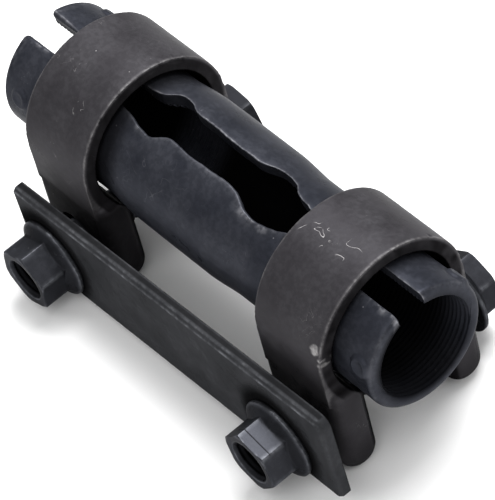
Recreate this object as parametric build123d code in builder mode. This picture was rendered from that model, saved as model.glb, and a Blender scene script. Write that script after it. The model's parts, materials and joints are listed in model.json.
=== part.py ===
from build123d import *
import os

# Tie-rod adjusting sleeve with two clamps, in millimetres.
# +X runs along the sleeve towards its near end, +Y towards the bolt heads, +Z up through the slot.
# The origin is on the sleeve's axis where its near thread starts, just inside the near end face.

# ---- sleeve ----
sleeve_length = 161.0
sleeve_radius = 20.3
belly_radius = 21.3
belly_from = -100.1
belly_to = -70.1
belly_rise = 15.0
bore_radius = 15.7          # crest radius of the M33 x 1.5 thread
bore_mouth = 16.4
mouth_depth = 1.4
thread_length = 60.6
relief_radius = 16.9
relief_step = 1.5
end_rounding = 1.6
slot_width = 9.0
slot_turn = 6.5             # the slot leans this many degrees towards -Y from straight up
neck_half = 5.7
window_half_length = 36.0
button_radius = 3.5
button_height = 0.8
button_edge = 0.7
dimple_radius = 2.6
dimple_sink = 0.6
far_button_inset = 7.9       # from the sleeve's end faces to the centres of the buttons
near_button_inset = 4.1
button_angle = 66.0

# ---- clamps ----
near_clamp_x = -25.7
far_clamp_x = -127.7
strap_width = 27.4
strap_inner = 21.8
strap_thickness = 4.6
strap_outer = strap_inner + strap_thickness
leg_inner = 14.0
leg_width = 31.0
leg_top = -10.0
leg_bottom = -45.0
leg_toe = 6.0
leg_corner = 4.0
leg_shoulder = 1.5
ring_end = -14.0
leg_hole_drop = 30.3        # centre of the leg holes below the sleeve axis
leg_hole_radius = 7.7

# ---- M12 hardware ----
near_drop = 29.0            # the bolts lie askew in their holes, the near one higher
far_drop = 31.6
bolt_radius = 6.0
bolt_length = 70.0
bolt_end_chamfer = 1.2
near_head_seat = 30.0       # Y of the bearing faces under the bolt heads
far_head_seat = 28.5
across_flats = 18.0
across_corners = across_flats / 0.8660254
flange_radius = 13.0
flange_rim = 1.4
cone_top = 3.6
cone_radius = 9.4
head_height = 9.2
nut_height = 12.0
nut_seat = -35.8            # Y of the nuts' bearing faces
nut_bore = 6.05
nut_countersink = 0.9
crown_radius = 9.6          # the hexagons' flat tops end in this circle
crown_drop = 0.9
near_nut_turn = 45.0
far_nut_turn = 21.0
near_bolt_turn = 26.0
far_bolt_turn = 8.0

# ---- plate ----
plate_length = 138.0
plate_thickness = 4.0
plate_height = 32.0
plate_overhang = 23.0       # from the near hole's centre to the plate's near end
plate_rise = 5.6            # the plate's centre line above its hole centres
plate_tilt = -2.7           # degrees about Y, near end up
plate_corner = 4.0
plate_edge = 1.2
plate_hole_radius = 7.5

os.makedirs("parts", exist_ok=True)


def save(part, name):
    part.label = name
    export_step(part, f"parts/{name}.step")


# ---- the sleeve: a tube with a belly, bored and relieved, slotted along its whole top ----
near_face = mouth_depth
far_face = near_face - sleeve_length
near_thread_end = -thread_length
far_thread_end = far_face + mouth_depth + thread_length
middle = (near_face + far_face) / 2

with BuildPart() as sleeve:
    with BuildSketch(Plane.XZ) as wall:
        with BuildLine():
            far_outer = Line((far_face, sleeve_radius - end_rounding), (far_face, bore_mouth))
            far_mouth = Line(far_outer @ 1, (far_face + mouth_depth, bore_radius))
            far_thread = Line(far_mouth @ 1, (far_thread_end, bore_radius))
            far_step = Line(far_thread @ 1, (far_thread_end + relief_step, relief_radius))
            relief = Line(far_step @ 1, (near_thread_end - relief_step, relief_radius))
            near_step = Line(relief @ 1, (near_thread_end, bore_radius))
            near_thread = Line(near_step @ 1, (0, bore_radius))
            near_mouth = Line(near_thread @ 1, (near_face, bore_mouth))
            near_outer = Line(near_mouth @ 1, (near_face, sleeve_radius - end_rounding))
            near_round = RadiusArc(near_outer @ 1, (near_face - end_rounding, sleeve_radius), -end_rounding)
            near_body = Line(near_round @ 1, (belly_to + belly_rise, sleeve_radius))
            near_slope = Spline(
                near_body @ 1, (belly_to, belly_radius), tangents=[(-1, 0), (-1, 0)]
            )
            belly = Line(near_slope @ 1, (belly_from, belly_radius))
            far_slope = Spline(
                belly @ 1, (belly_from - belly_rise, sleeve_radius), tangents=[(-1, 0), (-1, 0)]
            )
            far_body = Line(far_slope @ 1, (far_face + end_rounding, sleeve_radius))
            RadiusArc(far_body @ 1, far_outer @ 0, -end_rounding)
        make_face()
    revolve(axis=Axis.X)

    slot_plane = Plane((middle, 0, 0)).rotated((slot_turn, 0, 0))
    with BuildSketch(slot_plane):
        Rectangle(sleeve_length + 2, slot_width)
    extrude(amount=belly_radius + 5, mode=Mode.SUBTRACT)

    # The wavy window between the clamps: two lobes at its ends, straighter in the middle.
    with BuildSketch(slot_plane):
        with BuildLine():
            heads_edge = Spline(
                (-window_half_length, slot_width / 2),
                (-28.5, neck_half),
                (-23.5, 9.2),
                (-15.5, 7.9),
                (8.0, 8.1),
                (20.0, 9.5),
                (28.0, neck_half),
                (window_half_length, slot_width / 2),
            )
            near_close = Line(heads_edge @ 1, (window_half_length, -slot_width / 2))
            nuts_edge = Spline(
                near_close @ 1,
                (30.0, -neck_half),
                (23.5, -7.2),
                (12.0, -4.0),
                (-13.5, -4.2),
                (-22.0, -6.9),
                (-29.0, -neck_half),
                (-window_half_length, -slot_width / 2),
            )
            Line(nuts_edge @ 1, heads_edge @ 0)
        make_face()
    extrude(amount=belly_radius + 5, mode=Mode.SUBTRACT)

    # Four staked buttons that stop the clamps, one pair near each end, each with a punched dimple.
    for station in (far_face + far_button_inset, near_face - near_button_inset):
        for angle in (-button_angle, button_angle):
            button_plane = Plane((station, 0, 0)).rotated((slot_turn + angle, 0, 0))
            with BuildSketch(button_plane.offset(sleeve_radius - 2)):
                Circle(button_radius)
            extrude(amount=2 + button_height)
            with Locations(button_plane):
                with Locations((0, 0, sleeve_radius + button_height + dimple_radius - dimple_sink)):
                    Sphere(dimple_radius, mode=Mode.SUBTRACT)
    circles = sleeve.edges().filter_by(GeomType.CIRCLE)
    fillet([e for e in circles if abs(e.radius - button_radius) < 0.01], button_edge)

save(sleeve.part, "sleeve")


# ---- a clamp: an open ring with two dished legs, drilled for the bolt ----
def build_clamp(at_x):
    leg_depth = strap_outer - leg_inner
    leg_middle = (strap_outer + leg_inner) / 2
    leg_centre = (leg_top + leg_bottom) / 2
    with BuildPart() as clamp:
        # The legs stand proud of the ring's end faces, with round toes and rolled rims.
        with BuildSketch(Plane.YZ.offset(at_x - leg_width / 2)) as leg_side:
            with Locations((-leg_middle, leg_centre), (leg_middle, leg_centre)):
                Rectangle(leg_depth, leg_top - leg_bottom)
            fillet(leg_side.vertices().group_by(Axis.Y)[0], leg_toe)
        extrude(amount=leg_width)
        end_edges = clamp.faces().filter_by(Axis.X).edges()
        below_top = end_edges.filter_by(lambda e: e.center().Z < leg_top - 1)
        fillet(below_top.filter_by(lambda e: abs(e.center().Y) > leg_inner + 0.1), leg_corner)
        fillet(clamp.faces().group_by(Axis.Z)[-1].edges().filter_by(Axis.Y), leg_shoulder)

        # Each leg is dished from its inner side.
        with BuildSketch(Plane.XY.offset(ring_end)):
            with Locations((at_x, 0)):
                Rectangle(leg_width - 2 * strap_thickness, 2 * (strap_outer - strap_thickness))
        extrude(amount=leg_bottom + strap_thickness - ring_end, mode=Mode.SUBTRACT)

        # The ring, open at the bottom between the legs.
        with BuildSketch(Plane.YZ.offset(at_x - strap_width / 2)):
            Circle(strap_outer)
            with Locations((0, ring_end / 2)):
                Rectangle(2 * strap_outer, -ring_end)
            with Locations((0, ring_end - strap_outer / 2)):
                Rectangle(2 * strap_outer, strap_outer, mode=Mode.SUBTRACT)
        extrude(amount=strap_width)
        with BuildSketch(Plane.YZ.offset(at_x - leg_width / 2)):
            Circle(strap_inner)
        extrude(amount=leg_width, mode=Mode.SUBTRACT)

        # The bolt hole through both legs.
        with BuildSketch(Plane.XZ.offset(-strap_outer - 1)):
            with Locations((at_x, -leg_hole_drop)):
                Circle(leg_hole_radius)
        extrude(amount=2 * strap_outer + 2, mode=Mode.SUBTRACT)
    return clamp.part


save(build_clamp(far_clamp_x), "far_clamp")
save(build_clamp(near_clamp_x), "near_clamp")


# ---- the hexagon and flange that the nuts and the bolt heads share ----
def turning_plane(centre, outward):
    return Plane(origin=centre, x_dir=(1, 0, 0), z_dir=(0, 0, outward))


def build_hexagon(centre, outward, height, turn):
    corner = across_corners / 2
    turning_axis = Axis(centre, (0, 1, 0))
    hex_plane = Plane(origin=centre, x_dir=(1, 0, 0), z_dir=(0, outward, 0))
    with BuildPart() as hexagon:
        with BuildSketch(hex_plane):
            RegularPolygon(across_flats / 2, 6, major_radius=False, rotation=turn)
        extrude(amount=height)
        with BuildSketch(turning_plane(centre, outward)):
            with BuildLine():
                Polyline(
                    (0, 0),
                    (corner + 1, 0),
                    (corner + 1, height - crown_drop),
                    (crown_radius, height),
                    (0, height),
                    close=True,
                )
            make_face()
        revolve(axis=turning_axis, mode=Mode.INTERSECT)
        with BuildSketch(turning_plane(centre, outward)):
            with BuildLine():
                Polyline(
                    (0, 0),
                    (flange_radius - 0.5, 0),
                    (flange_radius, 0.5),
                    (flange_radius, flange_rim),
                    (cone_radius, cone_top),
                    (0, cone_top),
                    close=True,
                )
            make_face()
        revolve(axis=turning_axis)
    return hexagon.part


# ---- a flange nut ----
def build_nut(at_x, drop, turn):
    centre = (at_x, nut_seat, -drop)
    body = build_hexagon(centre, -1, nut_height, turn)
    with BuildPart() as nut:
        add(body)
        with BuildSketch(turning_plane(centre, -1)):
            with BuildLine():
                Polyline(
                    (0, 0),
                    (nut_bore + nut_countersink, 0),
                    (nut_bore, nut_countersink),
                    (nut_bore, nut_height - nut_countersink),
                    (nut_bore + nut_countersink, nut_height),
                    (0, nut_height),
                    close=True,
                )
            make_face()
        revolve(axis=Axis(centre, (0, 1, 0)), mode=Mode.SUBTRACT)
    return nut.part


save(build_nut(far_clamp_x, far_drop, far_nut_turn), "far_nut")
save(build_nut(near_clamp_x, near_drop, near_nut_turn), "near_nut")


# ---- a flange bolt ----
def build_bolt(at_x, seat, drop, turn):
    centre = (at_x, seat, -drop)
    head = build_hexagon(centre, 1, head_height, turn)
    with BuildPart() as bolt:
        add(head)
        with BuildSketch(turning_plane(centre, -1)):
            with BuildLine():
                Polyline(
                    (0, -1),
                    (bolt_radius, -1),
                    (bolt_radius, bolt_length - bolt_end_chamfer),
                    (bolt_radius - bolt_end_chamfer, bolt_length),
                    (0, bolt_length),
                    close=True,
                )
            make_face()
        revolve(axis=Axis(centre, (0, 1, 0)))
    return bolt.part


save(build_bolt(far_clamp_x, far_head_seat, far_drop, far_bolt_turn), "far_bolt")
save(build_bolt(near_clamp_x, near_head_seat, near_drop, near_bolt_turn), "near_bolt")


# ---- the tie plate between the legs and the nuts ----
hole_spacing = near_clamp_x - far_clamp_x
plate_pivot = ((near_clamp_x + far_clamp_x) / 2, nut_seat, -(near_drop + far_drop) / 2)
plate_plane = Plane(origin=plate_pivot, x_dir=(1, 0, 0), z_dir=(0, 1, 0)).rotated((0, plate_tilt, 0))

with BuildPart() as plate:
    with BuildSketch(plate_plane):
        plate_middle = hole_spacing / 2 + plate_overhang - plate_length / 2
        with Locations((plate_middle, -plate_rise)):
            Rectangle(plate_length, plate_height)
        with Locations((-hole_spacing / 2, 0), (hole_spacing / 2, 0)):
            Circle(plate_hole_radius, mode=Mode.SUBTRACT)
    extrude(amount=plate_thickness)
    across = plate.edges().filter_by(Axis.Y)
    near_top = across.sort_by(lambda e: e.center().X + e.center().Z)[-1]
    fillet(near_top, plate_corner)
    outer_face = plate.faces().sort_by(Axis.Y)[0]
    long_edges = outer_face.edges().filter_by(GeomType.LINE).sort_by(Edge.length)[-2:]
    chamfer(long_edges.sort_by(Axis.Z)[-1], plate_edge)

save(plate.part, "plate")
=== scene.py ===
import json
import math
from types import SimpleNamespace

import bmesh
import bpy
import numpy as np
from mathutils import Matrix, Vector


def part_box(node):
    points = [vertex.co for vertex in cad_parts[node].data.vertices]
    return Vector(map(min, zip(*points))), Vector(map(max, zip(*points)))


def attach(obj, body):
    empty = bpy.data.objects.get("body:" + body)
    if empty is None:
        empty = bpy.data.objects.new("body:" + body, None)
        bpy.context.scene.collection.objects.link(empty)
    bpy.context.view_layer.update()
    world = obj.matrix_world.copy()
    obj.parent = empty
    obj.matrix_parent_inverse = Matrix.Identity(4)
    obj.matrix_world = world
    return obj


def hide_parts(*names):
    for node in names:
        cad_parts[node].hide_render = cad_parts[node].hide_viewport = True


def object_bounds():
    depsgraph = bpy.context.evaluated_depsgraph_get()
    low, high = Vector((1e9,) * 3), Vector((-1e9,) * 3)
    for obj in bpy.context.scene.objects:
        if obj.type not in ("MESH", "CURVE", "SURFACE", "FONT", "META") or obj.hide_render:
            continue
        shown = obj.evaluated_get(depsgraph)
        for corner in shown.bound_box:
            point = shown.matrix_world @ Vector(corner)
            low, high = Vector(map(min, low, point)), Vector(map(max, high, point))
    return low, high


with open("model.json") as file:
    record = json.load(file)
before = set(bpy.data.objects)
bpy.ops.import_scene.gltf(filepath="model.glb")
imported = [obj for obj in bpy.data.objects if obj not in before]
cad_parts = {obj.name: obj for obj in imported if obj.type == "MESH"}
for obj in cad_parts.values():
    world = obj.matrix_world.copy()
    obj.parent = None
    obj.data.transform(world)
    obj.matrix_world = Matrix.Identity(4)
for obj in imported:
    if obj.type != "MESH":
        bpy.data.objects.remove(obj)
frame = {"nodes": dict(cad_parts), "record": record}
cad_low, cad_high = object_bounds()
MM = 0.001


# ---------------------------------------------------------------- helpers
def ease(t):
    """A smooth step from 0 to 1."""
    t = np.clip(t, 0.0, 1.0)
    return t * t * (3 - 2 * t)


def lattice(ix, iy, iz, seed):
    """A repeatable value from -1 to 1 for each whole-number point."""
    n = (ix * 73856093) ^ (iy * 19349663) ^ (iz * 83492791) ^ (seed * 6542989)
    n = n & 0xFFFFFFFF
    n = ((n ^ (n >> 13)) * 1274126177) & 0xFFFFFFFF
    n = n ^ (n >> 16)
    return (n & 0xFFFF) / 32767.5 - 1.0


def noise(points, scale, seed=1):
    """Smooth value noise from -1 to 1 at points in mm, with features of about scale mm."""
    p = np.asarray(points, float) / scale
    i = np.floor(p).astype(np.int64)
    f = p - i
    f = f * f * (3 - 2 * f)
    total = 0.0
    for dx in (0, 1):
        wx = f[..., 0] if dx else 1 - f[..., 0]
        for dy in (0, 1):
            wy = f[..., 1] if dy else 1 - f[..., 1]
            for dz in (0, 1):
                wz = f[..., 2] if dz else 1 - f[..., 2]
                value = lattice(i[..., 0] + dx, i[..., 1] + dy, i[..., 2] + dz, seed)
                total = total + value * wx * wy * wz
    return total


def line_noise(x, scale, seed):
    """The same noise along one axis."""
    x = np.asarray(x, float)
    return noise(np.stack([x, 0 * x, 0 * x], -1), scale, seed)


def curve_through(x, knots):
    """A smooth curve through (x, value) knots, flat beyond the first and the last."""
    kx = np.array([k[0] for k in knots], float)
    ky = np.array([k[1] for k in knots], float)
    slope = np.gradient(ky, kx)
    slope[0] = slope[-1] = 0.0
    x = np.clip(x, kx[0], kx[-1])
    j = np.clip(np.searchsorted(kx, x) - 1, 0, len(kx) - 2)
    h = kx[j + 1] - kx[j]
    t = (x - kx[j]) / h
    a = ky[j] * (2 * t**3 - 3 * t**2 + 1) + ky[j + 1] * (3 * t**2 - 2 * t**3)
    b = slope[j] * h * (t**3 - 2 * t**2 + t) + slope[j + 1] * h * (t**3 - t**2)
    return a + b


def grid_faces(rows, cols, wrap_rows=False):
    """Quads of a grid of rows x cols vertices, closed along each row."""
    r = np.arange(rows if wrap_rows else rows - 1)
    c = np.arange(cols)
    rr, cc = np.meshgrid(r, c, indexing="ij")
    r2, c2 = (rr + 1) % rows, (cc + 1) % cols
    quads = np.stack([rr * cols + cc, r2 * cols + cc, r2 * cols + c2, rr * cols + c2], -1)
    return quads.reshape(-1, 4).tolist()


def stitch(first, second):
    """Triangles between two rows of vertex numbers that run side by side."""
    faces = []
    i = j = 0
    while i < len(first) - 1 or j < len(second) - 1:
        at_end = j == len(second) - 1
        behind = (i + 1) / (len(first) - 1) <= (j + 1) / (len(second) - 1)
        if i < len(first) - 1 and (at_end or behind):
            faces.append([first[i], first[i + 1], second[j]])
            i += 1
        else:
            faces.append([first[i], second[j + 1], second[j]])
            j += 1
    return faces


def closed_mesh(name, points, faces):
    """A mesh from points in mm, with its faces turned outwards."""
    mesh = bpy.data.meshes.new(name)
    mesh.from_pydata((np.asarray(points) * MM).tolist(), [], faces)
    mesh.validate()
    work = bmesh.new()
    work.from_mesh(mesh)
    bmesh.ops.recalc_face_normals(work, faces=work.faces)
    work.to_mesh(mesh)
    work.free()
    mesh.update()
    return mesh


def points_of(mesh):
    values = np.zeros(len(mesh.vertices) * 3, np.float32)
    mesh.vertices.foreach_get("co", values)
    return values.reshape(-1, 3).astype(float) / MM


def normals_of(mesh):
    values = np.zeros(len(mesh.vertices) * 3, np.float32)
    mesh.vertices.foreach_get("normal", values)
    return values.reshape(-1, 3).astype(float)


def set_points(mesh, points):
    mesh.vertices.foreach_set("co", (points * MM).astype(np.float32).ravel())
    mesh.update()


def paint(mesh, name, values):
    """Stores a value from 0 to 1 per vertex, which the materials read."""
    layer = mesh.attributes.new(name, "FLOAT", "POINT")
    layer.data.foreach_set("value", np.clip(values, 0, 1).astype(np.float32))


def add_piece(name, mesh, body, node, material):
    """Puts a mesh in the scene in place of a CAD node, riding on a body."""
    piece = bpy.data.objects.new(name, mesh)
    bpy.context.scene.collection.objects.link(piece)
    mesh.materials.clear()
    mesh.materials.append(material)
    mesh.polygons.foreach_set("use_smooth", [True] * len(mesh.polygons))
    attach(piece, body)
    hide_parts(node)


# ---------------------------------------------------------------- materials
# The dark colour that painted soot and painted shade pull the steel towards.
SOOT_AND_SHADE_COLOUR = (0.0022, 0.0020, 0.0020)
SPECULAR_TINT = (0.35, 0.35, 0.35, 1.0)
SPECK_SPACING, RELIEF_DEPTH = 2.3, 0.25


def steel(name, dark, light, wear_and_sheen_colour, roughness, metallic, gloss, speck_cut):
    """Blackened steel: mottled colour, fine grain, pale specks, thin scratches, painted wear with some
    painted sheen, and painted soot with painted shade.
    """
    material = bpy.data.materials.new(name)
    material.use_nodes = True
    nodes, links = material.node_tree.nodes, material.node_tree.links
    nodes.clear()
    output = nodes.new("ShaderNodeOutputMaterial")
    shader = nodes.new("ShaderNodeBsdfPrincipled")
    links.new(shader.outputs["BSDF"], output.inputs["Surface"])
    coordinates = nodes.new("ShaderNodeTexCoord").outputs["Object"]

    def cloud(size_mm, detail, distortion=0.0, rough=0.5):
        node = nodes.new("ShaderNodeTexNoise")
        links.new(coordinates, node.inputs["Vector"])
        node.inputs["Scale"].default_value = 1.0 / (size_mm * MM)
        node.inputs["Detail"].default_value = detail
        node.inputs["Roughness"].default_value = rough
        node.inputs["Distortion"].default_value = distortion
        return node.outputs["Fac"]

    def ramp(value, low, high, to_low=0.0, to_high=1.0):
        node = nodes.new("ShaderNodeMapRange")
        node.interpolation_type = "SMOOTHSTEP"
        links.new(value, node.inputs["Value"])
        node.inputs["From Min"].default_value = low
        node.inputs["From Max"].default_value = high
        node.inputs["To Min"].default_value = to_low
        node.inputs["To Max"].default_value = to_high
        return node.outputs["Result"]

    def maths(operation, a, b=None):
        node = nodes.new("ShaderNodeMath")
        node.operation = operation
        for socket, value in zip(node.inputs, (a, b)):
            if isinstance(value, (int, float)):
                socket.default_value = value
            elif value is not None:
                links.new(value, socket)
        return node.outputs[0]

    def mix(factor, a, b):
        node = nodes.new("ShaderNodeMix")
        node.data_type = "RGBA"
        links.new(factor, node.inputs["Factor"])
        for socket, value in ((node.inputs["A"], a), (node.inputs["B"], b)):
            if isinstance(value, tuple):
                socket.default_value = (*value, 1.0)
            else:
                links.new(value, socket)
        return node.outputs["Result"]

    def painted(key):
        node = nodes.new("ShaderNodeAttribute")
        node.attribute_name = key
        return node.outputs["Fac"]

    broad = cloud(13.0, 3.0, 0.4)
    mottle = cloud(1.6, 4.0, 0.2, 0.6)
    grain = cloud(0.35, 3.0, 0.0, 0.7)
    base = mix(ramp(broad, 0.3, 0.7), dark, light)
    base = mix(ramp(mottle, 0.62, 0.40, 0.0, 0.35), base, tuple(0.6 * c for c in dark))
    base = mix(ramp(grain, 0.55, 0.75, 0.0, 0.25), base, tuple(1.2 * c for c in light))

    # Pale specks of dust and bare metal.
    cells = nodes.new("ShaderNodeTexVoronoi")
    cells.feature = "F1"
    links.new(coordinates, cells.inputs["Vector"])
    cells.inputs["Scale"].default_value = 1.0 / (SPECK_SPACING * MM)
    cells.inputs["Randomness"].default_value = 1.0
    chosen = nodes.new("ShaderNodeSeparateColor")
    links.new(cells.outputs["Color"], chosen.inputs["Color"])
    dots = ramp(cells.outputs["Distance"], 0.12, 0.04)
    specks = maths("MULTIPLY", dots, ramp(chosen.outputs[0], speck_cut, speck_cut + 0.03, 0.0, 0.7))

    # Thin scratches follow one level of a noise: faint in patches, strong where the metal is scuffed.
    def squiggle(size_mm, width, detail):
        level = maths("ABSOLUTE", maths("SUBTRACT", cloud(size_mm, detail, 0.9), 0.5))
        return ramp(level, width, width * 0.25)

    faint = maths("MULTIPLY", squiggle(5.5, 0.005, 2.5), ramp(cloud(13.0, 1.0), 0.62, 0.68, 0.0, 0.35))
    faint = maths("MULTIPLY", faint, ramp(cloud(1.3, 2.0), 0.44, 0.56))
    strong = maths("MULTIPLY", squiggle(6.5, 0.011, 1.2), painted("scuff"))
    strong = maths("MULTIPLY", strong, ramp(cloud(3.0, 1.5), 0.42, 0.54))
    scratches = maths("MAXIMUM", faint, strong)

    # Worn metal, and in places a painted sheen and painted glints, turn the colour pale.
    wear_and_sheen_mask = maths("MULTIPLY", painted("wear_and_sheen"), ramp(mottle, 0.40, 0.58, 0.45, 1.0))
    pale = maths("MAXIMUM", maths("MAXIMUM", specks, scratches), wear_and_sheen_mask)
    base = mix(pale, base, wear_and_sheen_colour)
    # Painted soot and painted shade: they darken the colour here, and below they take away gloss and raise
    # roughness.
    soot_and_shade = painted("soot_and_shade")
    base = mix(soot_and_shade, base, SOOT_AND_SHADE_COLOUR)
    links.new(base, shader.inputs["Base Color"])

    shader.inputs["Metallic"].default_value = metallic
    shader.inputs["Specular Tint"].default_value = SPECULAR_TINT
    links.new(ramp(soot_and_shade, 0.0, 1.0, gloss, 0.0), shader.inputs["Specular IOR Level"])
    rough = maths("ADD", ramp(broad, 0.25, 0.75, roughness - 0.05, roughness + 0.05),
                  ramp(mottle, 0.3, 0.7, -0.04, 0.04))
    links.new(maths("ADD", rough, maths("MULTIPLY", soot_and_shade, 0.3)), shader.inputs["Roughness"])

    height = maths("ADD", maths("MULTIPLY", mottle, 0.6), maths("MULTIPLY", grain, 0.4))
    height = maths("SUBTRACT", height, maths("MULTIPLY", scratches, 0.5))
    relief = nodes.new("ShaderNodeBump")
    relief.inputs["Strength"].default_value = 0.10
    relief.inputs["Distance"].default_value = RELIEF_DEPTH * MM
    links.new(height, relief.inputs["Height"])
    links.new(relief.outputs["Normal"], shader.inputs["Normal"])
    return material


TUBE = steel("tube_black", (0.024, 0.026, 0.034), (0.042, 0.044, 0.054), (0.26, 0.26, 0.28),
             roughness=0.44, metallic=0.5, gloss=0.08, speck_cut=0.962)
STRAP = steel("strap_black", (0.034, 0.032, 0.036), (0.050, 0.048, 0.053), (0.34, 0.33, 0.33),
              roughness=0.50, metallic=0.4, gloss=0.10, speck_cut=0.975)
PLATE = steel("plate_black", (0.030, 0.031, 0.034), (0.046, 0.047, 0.051), (0.17, 0.175, 0.19),
              roughness=0.55, metallic=0.45, gloss=0.02, speck_cut=0.980)
FASTENER = steel("fastener_black", (0.026, 0.027, 0.032), (0.044, 0.046, 0.054), (0.30, 0.31, 0.34),
                 roughness=0.38, metallic=0.7, gloss=0.10, speck_cut=0.970)


# ---------------------------------------------------------------- sleeve
TUBE_RADIUS, BELLY_RADIUS, END_ROUNDING = 20.3, 21.3, 1.6
THREAD_PITCH, THREAD_DEPTH, RELIEF_RADIUS = 1.5, 0.85, 16.9
MOUTH_RADIUS, MOUTH_DEPTH = 16.4, 1.4
SLOT_LEAN = math.radians(-6.5)
WALL_FOOT = 0.25            # radius of the corner between each slot wall and the bore
WALL_BULGE = 0.12           # how far each wall stands back halfway down
WALL_POINTS, CORNER_POINTS = 5, 3
WALL_COLUMNS = CORNER_POINTS + WALL_POINTS + CORNER_POINTS
BORE_COLUMNS = 64
WINDOW_REACH, WINDOW_FADE = 37, 5       # the hammered window's half length and its soft end
FAR_LIP, FAR_LIP_REACH = 1.1, 22        # the slot's lips grow rounder towards the far end
FAR_CORNER, FAR_CORNER_LENGTH = 1.6, 1.8
# Distances of the slot's two edges from its middle plane, along the tube from its middle.
HEADS_EDGE = (
    (-36, 4.5), (-28.5, 5.6), (-24.8, 8.5), (-21, 8.8), (-16, 7.1), (-9, 6.9), (0, 6.5), (7.5, 6.7),
    (13, 6.9), (15.6, 8.3), (20, 9.3), (24.2, 8.5), (28.5, 6.2), (33.5, 5.2), (36, 4.5),
)
NUTS_EDGE = (
    (-36, 4.5), (-30, 5.2), (-26.6, 6.1), (-21.5, 6.8), (-15.8, 4.0), (-8, 4.1), (2, 4.0),
    (9.7, 3.7), (14.5, 4.1), (18.5, 6.1), (23.5, 7.0), (28, 6.4), (32, 5.7), (36, 4.6),
)
# Two staked buttons near each end, each with a dimple in its top.
BUTTON_ANGLES = (66, 294)
FAR_BUTTON, NEAR_BUTTON = 7.9, 4.1      # from the tube's two ends
BUTTON_RADIUS, BUTTON_HEIGHT, DIMPLE_RADIUS, DIMPLE_DEPTH = 4.0, 0.90, 2.5, 0.40


def sleeve_outer_angles(start, stop):
    """Angles of the outer arc, close together across the staked buttons."""
    at_buttons = np.arange(54, 79, 1.25)
    lip = np.array([0.0, 0.4, 1.0]) / TUBE_RADIUS
    inset = 2.2 / TUBE_RADIUS
    return np.sort(np.concatenate([
        start + lip,
        np.linspace(start + inset, np.radians(51), 6),
        np.radians(at_buttons),
        np.radians(np.arange(83, 278, 4.7)),
        np.radians(360 - at_buttons),
        np.linspace(np.radians(309), stop - inset, 6),
        stop - lip,
    ]))


def slot_edge(u, knots, in_window, coarse, fine, seed):
    """Distance of one slot edge from the slot's middle plane, with its hammer marks."""
    marks = line_noise(u, coarse, seed) + 0.5 * line_noise(u, fine, seed + 1)
    return curve_through(u, knots) + (0.05 + 0.09 * in_window) * marks


def sleeve_stations():
    """Where the tube's loops of points lie along X, and the sizes of each one, in mm."""
    low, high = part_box("sleeve")
    mounts = {mount["name"]: mount for mount in frame["record"]["mounts"]}
    thread_mount = mounts["near_thread"]
    crest = thread_mount["dims"]["r_mm"]
    thread_end = thread_mount["pos_m"][0] / MM - thread_mount["dims"]["length_mm"]
    far_face, near_face = low.x / MM, high.x / MM
    middle = (far_face + near_face) / 2

    ends = np.array([0, 0.12, 0.3, 0.6, 1.0, 1.5])
    thread = np.arange(near_face - 1.8, thread_end - 2.2, -THREAD_PITCH / 5)[::-1]
    waist = np.linspace(2 * middle - thread[0], thread[0], 56)[1:-1]
    x = np.concatenate([
        far_face + ends, 2 * middle - thread[::-1], waist, thread, near_face - ends[::-1],
    ])
    s = SimpleNamespace(x=x, u=x - middle, middle=middle, far_face=far_face, near_face=near_face)
    s.from_far, s.from_near = x - far_face, near_face - x
    s.from_end = np.minimum(s.from_far, s.from_near)
    s.in_window = ease((WINDOW_REACH - np.abs(s.u)) / WINDOW_FADE)
    # Where the far ring's painted shadow on the tube ends.
    s.stain_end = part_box("far_clamp")[1].x / MM + 7.5

    s.heads_edge = slot_edge(s.u, HEADS_EDGE, s.in_window, 3.1, 0.9, 11)
    s.nuts_edge = slot_edge(s.u, NUTS_EDGE, s.in_window, 3.4, 1.0, 13)
    s.heads_lip = 0.20 + s.in_window * (0.12 + 0.08 * line_noise(s.u, 4.0, 21))
    s.nuts_lip = 0.22 + s.in_window * (0.55 + 0.14 * line_noise(s.u, 4.0, 22))
    far_lip = FAR_LIP * ease(1 - s.from_far / FAR_LIP_REACH)
    inset = np.clip(1 - s.from_far / FAR_CORNER_LENGTH, 0, 1)
    far_corner = FAR_CORNER * (1 - np.sqrt(1 - inset**2))
    s.heads_lip, s.nuts_lip = s.heads_lip + far_lip, s.nuts_lip + far_lip
    s.heads_edge, s.nuts_edge = s.heads_edge + far_corner, s.nuts_edge + far_corner

    swell = ease((s.u + 36) / 15) * ease((24 - s.u) / 15)
    inset = END_ROUNDING - np.clip(s.from_end, 0, END_ROUNDING)
    end_drop = END_ROUNDING - np.sqrt(END_ROUNDING**2 - inset**2)
    s.radius = TUBE_RADIUS + (BELLY_RADIUS - TUBE_RADIUS) * swell - end_drop

    depth = np.clip(s.from_end / MOUTH_DEPTH, 0, 1)
    mouth = MOUTH_RADIUS - (MOUTH_RADIUS - crest) * np.sqrt(1 - (1 - depth) ** 2)
    threaded = ease((np.abs(s.u) - (thread_end - middle)) / 2.0)
    valley = THREAD_DEPTH * (0.5 - 0.5 * np.cos(2 * math.pi * x / THREAD_PITCH))
    s.bore = np.maximum((crest + valley) * threaded + RELIEF_RADIUS * (1 - threaded), mouth)
    # A loop drifts by one pitch per turn where there is thread, the two ends in opposite hands.
    s.drift = THREAD_PITCH * np.sign(s.u) * threaded * ease((s.from_end - MOUTH_DEPTH) / 2.0)
    return s


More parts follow.
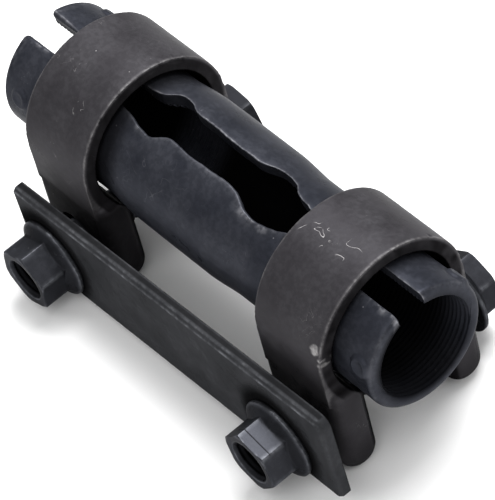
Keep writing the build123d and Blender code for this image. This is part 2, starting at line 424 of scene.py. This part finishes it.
def slot_wall(radius, bore, edge, lip):
    """One wall of the slot, from its lip to the bore: distances across the slot, and heights."""
    top = math.sqrt(radius**2 - (edge + lip) ** 2)
    foot = math.sqrt(bore**2 - (edge + WALL_FOOT) ** 2)
    corner = np.linspace(0, math.pi / 2, CORNER_POINTS + 2)[1:-1]
    bulge = np.sin(np.linspace(0, math.pi, WALL_POINTS))
    across = np.concatenate([
        edge + lip - lip * np.sin(corner),
        edge + WALL_BULGE * bulge,
        edge + WALL_FOOT - WALL_FOOT * np.cos(corner),
    ])
    up = np.concatenate([
        top - lip + lip * np.cos(corner),
        np.linspace(top - lip, foot + WALL_FOOT, WALL_POINTS),
        foot + WALL_FOOT - WALL_FOOT * np.sin(corner),
    ])
    return across, up


def sleeve_loop(s, i):
    """One loop of points, and its arc's angles and smooth points and its bore's angles."""
    x, radius, bore = s.x[i], s.radius[i], s.bore[i]
    start = math.asin((s.heads_edge[i] + s.heads_lip[i]) / radius)
    stop = 2 * math.pi - math.asin((s.nuts_edge[i] + s.nuts_lip[i]) / radius)
    arc = sleeve_outer_angles(start, stop)
    smooth = np.stack([np.full_like(arc, x), radius * np.sin(arc), radius * np.cos(arc)], -1)
    r = radius - 0.05 + 0.05 * noise(smooth, 9.0, 3) + 0.015 * noise(smooth, 2.5, 4)
    for gap_along in (s.from_far[i] - FAR_BUTTON, s.from_near[i] - NEAR_BUTTON):
        for angle in BUTTON_ANGLES:
            gap = np.hypot(gap_along, radius * (arc - math.radians(angle)))
            button = BUTTON_HEIGHT * ease((BUTTON_RADIUS - gap) / 1.5)
            r = r + button - DIMPLE_DEPTH * ease((DIMPLE_RADIUS - gap) / 1.6)

    start = math.asin((s.heads_edge[i] + WALL_FOOT) / bore)
    stop = 2 * math.pi - math.asin((s.nuts_edge[i] + WALL_FOOT) / bore)
    turn = np.linspace(0, 1, BORE_COLUMNS)
    inner = start + (stop - start) * turn
    bore_x = np.clip(x + s.drift[i] * (turn - 0.5), s.far_face, s.near_face)

    heads_across, heads_up = slot_wall(radius, bore, s.heads_edge[i], s.heads_lip[i])
    nuts_across, nuts_up = slot_wall(radius, bore, s.nuts_edge[i], s.nuts_lip[i])
    wall_x = np.full(WALL_COLUMNS, x)
    along = np.concatenate([smooth[:, 0], wall_x, bore_x[::-1], wall_x])
    across = np.concatenate([
        r * np.sin(arc), -nuts_across, (bore * np.sin(inner))[::-1], heads_across[::-1],
    ])
    up = np.concatenate([r * np.cos(arc), nuts_up, (bore * np.cos(inner))[::-1], heads_up[::-1]])
    y = across * math.cos(SLOT_LEAN) + up * math.sin(SLOT_LEAN)
    z = -across * math.sin(SLOT_LEAN) + up * math.cos(SLOT_LEAN)
    return np.stack([along, y, z], -1), arc, smooth, inner


def sleeve_wear_and_sheen(s, i, arc, smooth):
    """Bright metal along the lips and the end rims of one loop, with a painted sheen along the nuts-side
    lip and over its near bay.
    """
    window, u = s.in_window[i], s.u[i]
    from_heads = s.radius[i] * (arc - arc[0])
    from_nuts = s.radius[i] * (arc[-1] - arc)
    at_near, at_far = ease(1 - s.from_near[i] / 20), ease(1 - s.from_far[i] / 20)
    heads_patch = 0.45 + 0.55 * ease(0.3 + line_noise(u, 3.1, 31))
    nuts_patch = 0.2 + 0.4 * ease(line_noise(u, 2.4, 32))
    speckle = ease(0.1 + 1.2 * noise(smooth, 1.1, 34))
    near_bay = ease((u - 13) / 5) * ease((32 - u) / 4)
    heads_shine = max(0.25 + 0.35 * window, 0.85 * max(at_near, at_far))
    # The nuts-side lip band and the near bay are partly worn metal and partly a painted sheen.
    outside = np.maximum.reduce([
        ease(1 - from_heads / 0.5) * heads_patch * heads_shine,
        ease(1 - from_nuts / 1.6) * (0.15 + 0.35 * window) * nuts_patch,
        ease(1 - from_nuts / 3.0) * near_bay * (0.12 + 0.35 * speckle),
        ease(1 - from_nuts / 2.4) * at_near * 0.9 * speckle,
        ease(1 - from_nuts / 0.8) * at_far * 0.8 * speckle,
        ease(1 - np.abs(s.from_end[i] - 0.5) / 0.7) * 0.22 * (0.5 + 0.5 * noise(smooth, 3.0, 33)),
        ease(1 - s.from_far[i] / 5) * speckle * 0.35 * ease(np.cos(arc)),
    ])
    fade = np.zeros(WALL_COLUMNS)
    fade[:2] = 0.8, 0.25
    heads_wall = fade * (0.25 + 0.5 * window) * heads_patch
    nuts_wall = fade * (0.15 + 0.5 * window) * nuts_patch
    return np.concatenate([outside, nuts_wall, np.zeros(BORE_COLUMNS), heads_wall[::-1]])


def sleeve_painted_shade(s, i, arc, inner):
    """Painted shade down the walls and in the bore, lighter on a painted lit patch in the bore's far part,
    and the far ring's painted shadow on the tube, of one loop.
    """
    u = s.u[i]
    # Painted shadow of the far ring on the tube beside it.
    stain = 0.75 * ease((s.stain_end - s.x[i]) / 8.0) * ease((s.from_far[i] - 25) / 2.0)
    # Painted shade, darker down each wall towards the bore.
    wall = np.concatenate([np.zeros(CORNER_POINTS), np.linspace(0.0, 0.15, WALL_POINTS), [0.3, 0.6, 0.85]])
    wall = np.maximum(wall, stain)
    # Painted shade in the bore: darker inwards from the ends and towards its bottom, with a painted lit
    # patch towards the far end.
    inward = ease((s.from_end[i] - 1.0) / 14)
    bottom = ease((inner - 1.9) / 1.0)
    lit_patch = ease((-u - 18) / 8) * ease((u + 44) / 8)
    bore = 0.30 + 0.45 * bottom + (0.62 - 0.45 * bottom) * inward - 0.75 * lit_patch
    return np.concatenate([np.full(len(arc), stain), wall, bore[::-1], wall[::-1]])


def build_sleeve():
    """The slotted tube, one closed loop of points per station: outer arc, wall, bore, wall."""
    s = sleeve_stations()
    loops, wear_and_sheen, soot_and_shade = [], [], []
    for i in range(len(s.x)):
        loop, arc, smooth, inner = sleeve_loop(s, i)
        loops.append(loop)
        wear_and_sheen.append(sleeve_wear_and_sheen(s, i, arc, smooth))
        soot_and_shade.append(sleeve_painted_shade(s, i, arc, inner))

    loops = np.array(loops)
    rows, columns = loops.shape[:2]
    faces = grid_faces(rows, columns)
    wall_from = len(arc)
    bore_end = wall_from + WALL_COLUMNS + BORE_COLUMNS - 1
    for first in (0, (rows - 1) * columns):
        outer_row = [first + j for j in range(wall_from)]
        inner_row = [first + bore_end - j for j in range(BORE_COLUMNS)]
        heads_row = [first + columns - 1 - j for j in range(WALL_COLUMNS)]
        nuts_row = [first + wall_from + j for j in range(WALL_COLUMNS)]
        faces += stitch(outer_row, inner_row)
        faces.append([outer_row[0]] + heads_row + [inner_row[0]])
        faces.append([outer_row[-1]] + nuts_row + [inner_row[-1]])
    mesh = closed_mesh("sleeve_tube", loops.reshape(-1, 3), faces)
    paint(mesh, "wear_and_sheen", np.concatenate(wear_and_sheen))
    paint(mesh, "soot_and_shade", np.concatenate(soot_and_shade))
    points = points_of(mesh)
    rubbed = np.exp(-((points[:, 0] - s.middle + 12) ** 2) / 200 - (points[:, 1] + 17) ** 2 / 60)
    paint(mesh, "scuff", 0.12 * rubbed)
    return mesh


# ---------------------------------------------------------------- clamps and plate
VOXEL = 0.40


def worked_copy(node, turns, spin=None):
    """A copy of a CAD node's surface as an even mesh with slightly softened edges."""
    mesh = frame["nodes"][node].data.copy()
    mesh.name = node + "_worked"
    holder = bpy.data.objects.new(node + "_holder", mesh)
    bpy.context.scene.collection.objects.link(holder)
    if spin is not None:
        mesh.transform(spin)
    remesh = holder.modifiers.new("even", "REMESH")
    remesh.mode = "VOXEL"
    remesh.voxel_size = VOXEL * MM
    remesh.adaptivity = 0.0
    soften = holder.modifiers.new("soften", "SMOOTH")
    soften.factor = 0.5
    soften.iterations = turns
    graph = bpy.context.evaluated_depsgraph_get()
    worked = bpy.data.meshes.new_from_object(holder.evaluated_get(graph))
    if spin is not None:
        worked.transform(spin.inverted())
    bpy.data.objects.remove(holder)
    return worked


RING_RADIUS, RING_INNER, HALF_WIDTH = 26.4, 21.8, 13.7
TOE_HALF_WIDTH = 14.2
LEG_TOP = -14.0             # below this height the strap is leg, above it ring


def build_clamp(node, seed, scuffs, spots, leg_shade_level):
    """One strap clamp. scuffs and spots are (offset along x, angle in degrees, radius in mm)."""
    mesh = worked_copy(node, 2)
    low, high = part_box(node)
    points, normals = points_of(mesh), normals_of(mesh)
    side = points[:, 0] - (low.x + high.x) / 2 / MM
    radial = np.hypot(points[:, 1], points[:, 2])
    ring = ease((points[:, 2] - LEG_TOP) / 3)
    leg = 1 - ring
    near_edge = ease((side - HALF_WIDTH + 2.0) / 1.0) * ease((radial - RING_RADIUS + 2.2) / 1.0) * ring
    chipped = ease((noise(points, 1.9, seed + 9) - 0.35) / 0.4) * ease((points[:, 2] - 12) / 8)
    uneven = 0.07 * noise(points, 10.0, seed) + 0.02 * noise(points, 2.6, seed + 1) - 0.06
    points = points + normals * (uneven - 0.30 * near_edge * chipped)[:, None]
    set_points(mesh, points)

    from_face = np.abs(np.abs(side) - HALF_WIDTH + 0.3)
    rim = ease(1 - from_face / 0.55) * ease((radial - RING_RADIUS + 1.0) / 0.6)
    rim = rim * ring * np.where(side > 0, 1.0, 0.45)
    toes = ease(1 - np.abs(np.abs(side) - TOE_HALF_WIDTH) / 1.3) * leg * 0.14
    wear_and_sheen = np.maximum(rim * (0.22 + 0.35 * ease(0.2 + noise(points, 3.4, seed + 5))),
                      toes * ease(noise(points, 2.2, seed + 6)))
    angle = np.degrees(np.arctan2(points[:, 1], points[:, 2]))

    def gap_to(offset, at_angle):
        return np.hypot(side - offset, (angle - at_angle) * np.radians(RING_RADIUS))

    # Pale spots, partly worn metal and partly a painted glint on the edge.
    for offset, at_angle, size in spots:
        gap = gap_to(offset, at_angle) + 0.6 * noise(points, 1.2, seed + 7)
        wear_and_sheen = np.maximum(wear_and_sheen, ease((size - gap) / 0.7) * 0.9)
    paint(mesh, "wear_and_sheen", wear_and_sheen)

    # Painted shade on the ring's inner face, down the legs (more on the far leg and towards the bottom)
    # and in the leg pockets; the cut faces are darker too.
    within_rim = ease((RING_RADIUS - 0.5 - radial) / 0.8)
    cut_face = ease((np.abs(side) - HALF_WIDTH + 0.6) / 0.5) * within_rim * ring
    ring_inner_shade = ease((RING_INNER + 0.8 - radial) / 0.5) * ring
    leg_shade = leg * (leg_shade_level + 0.25 * ease((-points[:, 2] - 30) / 12) * (1 - leg_shade_level))
    pocket_shade = ease((-normals[:, 1] * np.sign(points[:, 1]) - 0.2) / 0.4) * leg * 0.85
    paint(mesh, "soot_and_shade", np.maximum.reduce([
        cut_face * (0.60 + 0.20 * noise(points, 2.4, seed + 11)), ring_inner_shade * 0.95, leg_shade, pocket_shade,
    ]))

    scuff = np.zeros(len(points))
    for offset, at_angle, size in scuffs:
        scuff = np.maximum(scuff, ease((size - gap_to(offset, at_angle)) / 1.5) * ring)
    paint(mesh, "scuff", scuff)
    return mesh


PLATE_TILT = math.radians(2.7)
PLATE_HALF_LENGTH, PLATE_HALF_WIDTH, PLATE_DEPTH = 69.0, 16.0, 4.0


def build_plate():
    """The tie bar, remeshed level so that its long edges stay straight."""
    low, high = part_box("plate")
    pivot = (low + high) / 2
    spin = Matrix.Translation(pivot) @ Matrix.Rotation(PLATE_TILT, 4, "Y") @ Matrix.Translation(-pivot)
    mesh = worked_copy("plate", 1, spin)
    points, normals = points_of(mesh), normals_of(mesh)
    offset = points - np.array(pivot) / MM
    along = offset[:, 0] * math.cos(PLATE_TILT) + offset[:, 2] * math.sin(PLATE_TILT)
    across = offset[:, 2] * math.cos(PLATE_TILT) - offset[:, 0] * math.sin(PLATE_TILT)
    from_top = PLATE_HALF_WIDTH - across
    from_tip = PLATE_HALF_LENGTH - along
    depth = points[:, 1] - low.y / MM
    from_back = PLATE_DEPTH - depth
    uneven = 0.05 * noise(points, 14.0, 61) + 0.015 * noise(points, 2.5, 62) - 0.05
    ragged = ease(1 - depth / 1.6) * (0.5 + 0.5 * noise(points, 1.3, 63))
    ragged = ragged * ease((np.abs(normals[:, 2]) - 0.2) / 0.3)
    points = points + normals * (uneven - 0.14 * ragged)[:, None]
    set_points(mesh, points)

    breakup = ease(0.25 + noise(points, 2.2, 65))
    at_front = ease(1 - depth / 0.9)
    front_lip = np.maximum(ease(1 - np.abs(from_top - 1.2) / 0.6) * at_front,
                           ease(1 - np.abs(from_top - 0.2) / 0.4) * ease(1 - np.abs(depth - 1.2) / 0.5))
    back_lip = ease(1 - np.abs(from_top - 0.1) / 0.5) * ease((0.7 - from_back) / 0.4)
    end_lip = ease(1 - np.abs(from_tip - 0.2) / 0.7) * at_front * 0.8
    paint(mesh, "wear_and_sheen", np.maximum.reduce([
        front_lip * (0.30 + 0.65 * breakup), back_lip * (0.15 + 0.35 * breakup), end_lip * breakup,
    ]))

    # Painted shade: a contact shadow round each nut and the back face darkened; also a darker band along
    # the middle of the top face.
    shade = np.zeros(len(points))
    for node in ("far_nut", "near_nut"):
        nut_low, nut_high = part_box(node)
        nut = (nut_low + nut_high) / (2 * MM)
        gap = np.hypot(points[:, 0] - nut.x, points[:, 2] - nut.z - 1.2)
        shade = np.maximum(shade, ease((19.0 - gap) / 5.5) * 0.85)
    shade = shade * ease(1 - depth / 1.0)
    behind = ease((normals[:, 1] - 0.4) / 0.3) * 0.75
    top_groove = ease((0.5 - from_top) / 0.3) * ease((depth - 1.6) / 0.4) * ease((from_back - 0.5) / 0.4)
    paint(mesh, "soot_and_shade", np.maximum.reduce([shade, behind, top_groove * 0.55]))
    paint(mesh, "scuff", np.zeros(len(points)))
    return mesh


# ---------------------------------------------------------------- fasteners
ACROSS_FLATS, CORNER_SHARPNESS = 18.0, 110
FLANGE_RADIUS, RIM_HEIGHT = 13.0, 1.4
CONE_TOP, CONE_RADIUS, CROWN_RADIUS = 3.6, 9.4, 9.6
PITCH, BOLT_RADIUS, BOLT_LENGTH, PLAIN_SHANK = 1.75, 6.0, 70.0, 36.0
NUT_BORE, NUT_MOUTH = 6.05, 7.10
NUT_HEIGHT, HEAD_HEIGHT = 12.0, 9.2
HEX_TURN = {"near_nut": -45.0, "far_nut": -21.0, "near_bolt": 26.0, "far_bolt": 8.0}
# How much painted shade darkens each bolt head.
HEAD_SHADE = {"near_bolt": 0.35, "far_bolt": 0.50}
SCRIBE_HEIGHT = 8.9         # a thin line turned into the near nut's upper flats
SEED = {"near_nut": 71, "far_nut": 81, "near_bolt": 91, "far_bolt": 101}
# Degrees from one corner of the hexagon to the next, close together at the corners.
CORNER_STEPS = (0, 0.6, 1.4, 3, 7, 12, 18, 24, 30, 36, 42, 48, 53, 57, 58.6, 59.4)
# Height and radius of the bolt's rows: at its chamfered tip, and where the shank meets the head.
BOLT_TIP = ((0.0, 2.6), (0.0, 4.1), (0.1, 4.6), (0.35, 4.9), (0.9, 5.35))
BOLT_NECK = (
    (-0.8, BOLT_RADIUS), (-0.25, BOLT_RADIUS + 0.25), (0.0, BOLT_RADIUS + 0.9), (0.0, FLANGE_RADIUS - 1.6),
)


def spokes(turn):
    """Angles all round a hexagon, from corner to corner."""
    return np.radians(np.concatenate([turn + 30 + 60 * k + np.array(CORNER_STEPS) for k in range(6)]))


def hexagon(angle, turn):
    """Radius of a hexagon with barely softened corners."""
    total = 0.0
    for flat in range(3):
        total = total + np.abs(np.cos(angle - math.radians(turn + 60 * flat))) ** CORNER_SHARPNESS
    return ACROSS_FLATS / 2 / total ** (1 / CORNER_SHARPNESS)


def soft_min(a, b, k):
    return 0.5 * (a + b - np.sqrt((a - b) ** 2 + k * k))


def soft_max(a, b, k):
    return 0.5 * (a + b + np.sqrt((a - b) ** 2 + k * k))


def head_rows(height, turn, angles):
    """Rows of (height, radius) from under the flange's rim to the hexagon's top edge."""
    rows = [(0.0, np.full_like(angles, FLANGE_RADIUS - 1.0))]
    for t in np.radians((0, 22, 45, 67, 90)):
        edge = FLANGE_RADIUS - 0.45 + 0.45 * math.sin(t)
        rows.append((0.5 - 0.5 * math.cos(t), np.full_like(angles, edge)))
    flats = hexagon(angles, turn)
    heights = np.concatenate([
        np.linspace(0.7, RIM_HEIGHT + 0.4, 6),
        np.linspace(RIM_HEIGHT + 0.6, CONE_TOP + 0.6, 16),
        np.linspace(CONE_TOP + 0.9, height - 1.1, 30),
        np.linspace(height - 0.9, height, 10),
    ])
    for h in heights:
        r = soft_min(flats, CROWN_RADIUS + (height - h) / 0.5, 0.06)
        if h < CONE_TOP + 1.2:
            up_cone = (h - RIM_HEIGHT) / (CONE_TOP - RIM_HEIGHT)
            cone = FLANGE_RADIUS + (CONE_RADIUS - FLANGE_RADIUS) * up_cone
            r = soft_max(r, soft_min(cone, FLANGE_RADIUS, 0.2), 0.22)
        rows.append((h, r))
    return rows


def ring_points(centre, way, rows, angles):
    """Points of rows turned about an axis along Y; heights grow towards +Y or -Y, as way says."""
    rings = []
    for h, r in rows:
        y = np.full_like(angles, centre[1] + way * h)
        rings.append(np.stack([centre[0] + r * np.sin(angles), y, centre[2] + r * np.cos(angles)], -1))
    return np.concatenate(rings)


def groove(h, angles):
    """Depth of the fastener's thread, from 0 at a crest to 1 at a root."""
    turn = (h / PITCH - angles / (2 * math.pi)) % 1.0
    return np.clip(np.abs(turn - 0.5) * 2.4 - 0.1, 0, 1)


def finish_fastener(mesh, centre, height, node, painted_shade, crests=0.0):
    """Wear on the corners and rims; painted shade in the bore and on the thread, over the bolt heads and
    round the cone, and a scribed line on the near nut.
    """
    points = points_of(mesh)
    along = np.abs(points[:, 1] - centre[1])
    radial = np.hypot(points[:, 0] - centre[0], points[:, 2] - centre[2])
    corner = ease((radial - 9.95) / 0.3) * ease((along - CONE_TOP) / 0.6) * ease((height - along) / 0.4)
    crown = ease(1 - np.abs(radial - CROWN_RADIUS) / 0.35) * ease((along - height + 0.6) / 0.4)
    rim = ease(1 - np.abs(radial - FLANGE_RADIUS + 0.1) / 0.4) * ease((along - 0.3) / 0.5)
    spots = ease(0.4 + noise(points, 2.4, SEED[node]))
    wear_and_sheen = np.maximum.reduce([corner * 0.30, crown * 0.30, rim * 0.38]) * (0.35 + 0.65 * spots)
    if node.endswith("nut"):
        mouth = ease(1 - np.abs(radial - NUT_MOUTH + 0.1) / 0.3) * ease((along - height + 0.8) / 0.5)
        wear_and_sheen = np.maximum(wear_and_sheen, mouth * 0.30)
    paint(mesh, "wear_and_sheen", np.maximum(wear_and_sheen, crests))
    # Painted shade round the cone under the hexagon.
    cone = ease((radial - 8.6) / 0.8) * ease((12.6 - radial) / 0.8)
    cone = cone * ease((CONE_TOP + 0.9 - along) / 0.8) * 0.40
    scribe = np.zeros(len(points))
    if node == "near_nut":
        upper = points[:, 2] - centre[2] > 7.0
        scribe = upper * ease(1 - np.abs(along - SCRIBE_HEIGHT) / 0.25) * 0.85
    paint(mesh, "soot_and_shade", np.maximum.reduce([painted_shade, cone, scribe]))
    paint(mesh, "scuff", np.zeros(len(points)))


def build_nut(node):
    """A flange nut, open at both ends, as one loop of rows: outside, top, bore."""
    low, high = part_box(node)
    centre = ((low.x + high.x) / 2 / MM, high.y / MM, (low.z + high.z) / 2 / MM)
    angles = spokes(HEX_TURN[node])
    rows = head_rows(NUT_HEIGHT, HEX_TURN[node], angles)
    edge = rows[-1][1]
    for t in (0.08, 0.3, 0.6, 0.9):
        rows.append((NUT_HEIGHT, edge * (1 - t) + NUT_MOUTH * t))
    mouth_height = NUT_HEIGHT - 0.12
    rows.append((mouth_height, np.full_like(angles, NUT_MOUTH)))
    outside = len(rows)
    for h in np.arange(NUT_HEIGHT - 0.4, 0.4, -PITCH / 6):
        chamfer = NUT_MOUTH - (mouth_height - h)
        rows.append((h, np.maximum(NUT_BORE + 0.7 * groove(h, angles), chamfer)))
    rows.append((0.25, np.full_like(angles, NUT_BORE + 0.6)))
    rows.append((0.0, np.full_like(angles, NUT_MOUTH)))
    faces = grid_faces(len(rows), len(angles), wrap_rows=True)
    mesh = closed_mesh(node, ring_points(centre, -1, rows, angles), faces)
    row = np.repeat(np.arange(len(rows)), len(angles))
    sunk = np.repeat([NUT_HEIGHT - h for h, _ in rows], len(angles))
    # Painted shade in the bore, darker deeper in.
    painted_shade = (row >= outside) * (0.45 + 0.5 * ease(sunk / 4.0))
    finish_fastener(mesh, centre, NUT_HEIGHT, node, painted_shade)
    return mesh


def build_bolt(node, nut):
    """A flange bolt on its nut's axis, as rows from the shank's tip to the head's shallow dish."""
    nut_low, nut_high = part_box(nut)
    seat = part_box(node)[1].y / MM - HEAD_HEIGHT
    centre = ((nut_low.x + nut_high.x) / 2 / MM, seat, (nut_low.z + nut_high.z) / 2 / MM)
    angles = spokes(HEX_TURN[node])
    rows = [(h - BOLT_LENGTH, np.full_like(angles, r)) for h, r in BOLT_TIP]
    for h in np.arange(1.3 - BOLT_LENGTH, -PLAIN_SHANK - 0.3, PITCH / 6):
        fade = ease((-h - PLAIN_SHANK) / 2.5)
        rows.append((h, BOLT_RADIUS - 0.85 * groove(h, angles) * fade))
    rows += [(h, np.full_like(angles, BOLT_RADIUS)) for h in np.linspace(-PLAIN_SHANK, -4, 9)]
    rows += [(h, np.full_like(angles, r)) for h, r in BOLT_NECK]
    shank_rows = len(rows)
    rows += head_rows(HEAD_HEIGHT, HEX_TURN[node], angles)
    edge = rows[-1][1]
    for t in (0.10, 0.22, 0.45, 0.7, 0.9):
        rows.append((HEAD_HEIGHT - 0.3 * ease((t - 0.12) / 0.3), edge * (1 - t)))
    faces = grid_faces(len(rows), len(angles))
    faces.append(list(range(len(angles))))
    faces.append(list(range((len(rows) - 1) * len(angles), len(rows) * len(angles))))
    mesh = closed_mesh(node, ring_points(centre, 1, rows, angles), faces)
    shank = np.repeat(np.arange(len(rows)), len(angles)) < shank_rows
    height = np.repeat([h for h, _ in rows], len(angles))
    radial = np.repeat([np.mean(r) for _, r in rows], len(angles))
    # Painted shade on the shank, darker towards its tip, and over the head.
    painted_shade = np.where(shank, 0.25 + 0.6 * ease((-height - BOLT_LENGTH + 8) / 3), HEAD_SHADE[node])
    crests = 0.12 * shank * (height < -PLAIN_SHANK) * ease((radial - 5.3) / 0.3)
    finish_fastener(mesh, centre, HEAD_HEIGHT, node, painted_shade, crests)
    return mesh


# ---------------------------------------------------------------- assembly
# Scuffed and rubbed places on the rings, and pale spots that are partly a painted glint: offset along X,
# angle from the top, radius.
NEAR_SCUFFS = ((-8.5, -6.0, 5.5), (-4.0, -8.0, 4.0), (5.0, -6.0, 4.2))
NEAR_SPOTS = ((11.0, -70.0, 2.0), (12.9, -76.0, 0.9), (13.0, -80.0, 0.9))
FAR_SCUFFS = ((4.0, -38.0, 3.0),)

far_strap = build_clamp("far_clamp", seed=201, scuffs=FAR_SCUFFS, spots=(), leg_shade_level=0.50)
near_strap = build_clamp("near_clamp", seed=211, scuffs=NEAR_SCUFFS, spots=NEAR_SPOTS, leg_shade_level=0.20)
add_piece("sleeve_tube", build_sleeve(), "sleeve", "sleeve", TUBE)
add_piece("far_strap", far_strap, "clamps", "far_clamp", STRAP)
add_piece("near_strap", near_strap, "clamps", "near_clamp", STRAP)
add_piece("tie_plate", build_plate(), "plate", "plate", PLATE)
for end in ("near", "far"):
    nut = end + "_nut"
    add_piece(end + "_flange_nut", build_nut(nut), nut, nut, FASTENER)
for end in ("near", "far"):
    bolt = end + "_bolt"
    mesh = build_bolt(bolt, end + "_nut")
    add_piece(end + "_flange_bolt", mesh, "clamps", bolt, FASTENER)


# ---------------------------------------------------------------- floor, lights, camera
def build_floor():
    """A plain pale floor just under the object."""
    centre = (cad_low + cad_high) / 2
    reach = 6.0
    z = cad_low.z - 0.1 * MM
    signs = ((-1, -1), (1, -1), (1, 1), (-1, 1))
    corners = [(centre.x + sx * reach, centre.y + sy * reach, z) for sx, sy in signs]
    mesh = bpy.data.meshes.new("floor")
    mesh.from_pydata(corners, [], [(0, 1, 2, 3)])
    floor = bpy.data.objects.new("floor", mesh)
    bpy.context.scene.collection.objects.link(floor)
    material = bpy.data.materials.new("floor_white")
    material.use_nodes = True
    shader = material.node_tree.nodes["Principled BSDF"]
    shader.inputs["Base Color"].default_value = (0.93, 0.93, 0.93, 1)
    shader.inputs["Roughness"].default_value = 0.9
    mesh.materials.append(material)


def direction(azimuth, elevation):
    """From the object towards a lamp or the camera; azimuth 0 looks from -Y, 90 from +X."""
    az, el = math.radians(azimuth), math.radians(elevation)
    return Vector((math.sin(az) * math.cos(el), -math.cos(az) * math.cos(el), math.sin(el)))


def add_lamp(name, azimuth, elevation, distance, size, power):
    """A square soft box aimed at the object."""
    back = direction(azimuth, elevation)
    lamp = bpy.data.lights.new(name, "AREA")
    lamp.size = size
    lamp.energy = power
    lamp_object = bpy.data.objects.new(name, lamp)
    lamp_object.location = (cad_low + cad_high) / 2 + back * distance
    lamp_object.rotation_euler = back.to_track_quat("Z", "Y").to_euler()
    bpy.context.scene.collection.objects.link(lamp_object)


CAMERA_AIM = Vector((6.49, 0.24, -5.06))    # mm from the middle of the CAD box


def add_camera():
    """The photo's viewpoint: a long lens, rolled a little."""
    azimuth, elevation, roll, distance = 61.12, 49.19, math.radians(-15.81), 1.1208
    target = (cad_low + cad_high) / 2 + CAMERA_AIM * MM
    back = direction(azimuth, elevation)
    level = Vector((math.cos(math.radians(azimuth)), math.sin(math.radians(azimuth)), 0.0))
    right = level * math.cos(roll) + back.cross(level) * math.sin(roll)
    rotation = Matrix((right, back.cross(right), back)).transposed().to_4x4()
    camera = bpy.data.cameras.new("camera")
    camera.sensor_fit = "HORIZONTAL"
    camera.sensor_width = 36.0
    camera.lens = 287.35
    camera.clip_start = 0.01
    camera.clip_end = 50.0
    camera_object = bpy.data.objects.new("camera", camera)
    camera_object.matrix_world = Matrix.Translation(target + back * distance) @ rotation
    bpy.context.scene.collection.objects.link(camera_object)
    bpy.context.scene.camera = camera_object


build_floor()
add_lamp("key", azimuth=205.0, elevation=66.0, distance=1.0, size=0.65, power=16.5)
add_lamp("front", azimuth=30.0, elevation=58.0, distance=1.2, size=0.9, power=5.0)
add_lamp("side", azimuth=120.0, elevation=42.0, distance=1.3, size=0.7, power=2.0)
add_camera()

scene = bpy.context.scene
world = bpy.data.worlds.new("studio")
scene.world = world
world.use_nodes = True
background = world.node_tree.nodes["Background"]
background.inputs["Color"].default_value = (1.0, 1.0, 1.0, 1.0)
background.inputs["Strength"].default_value = 0.52
scene.view_settings.view_transform = "Standard"
scene.view_settings.look = "None"
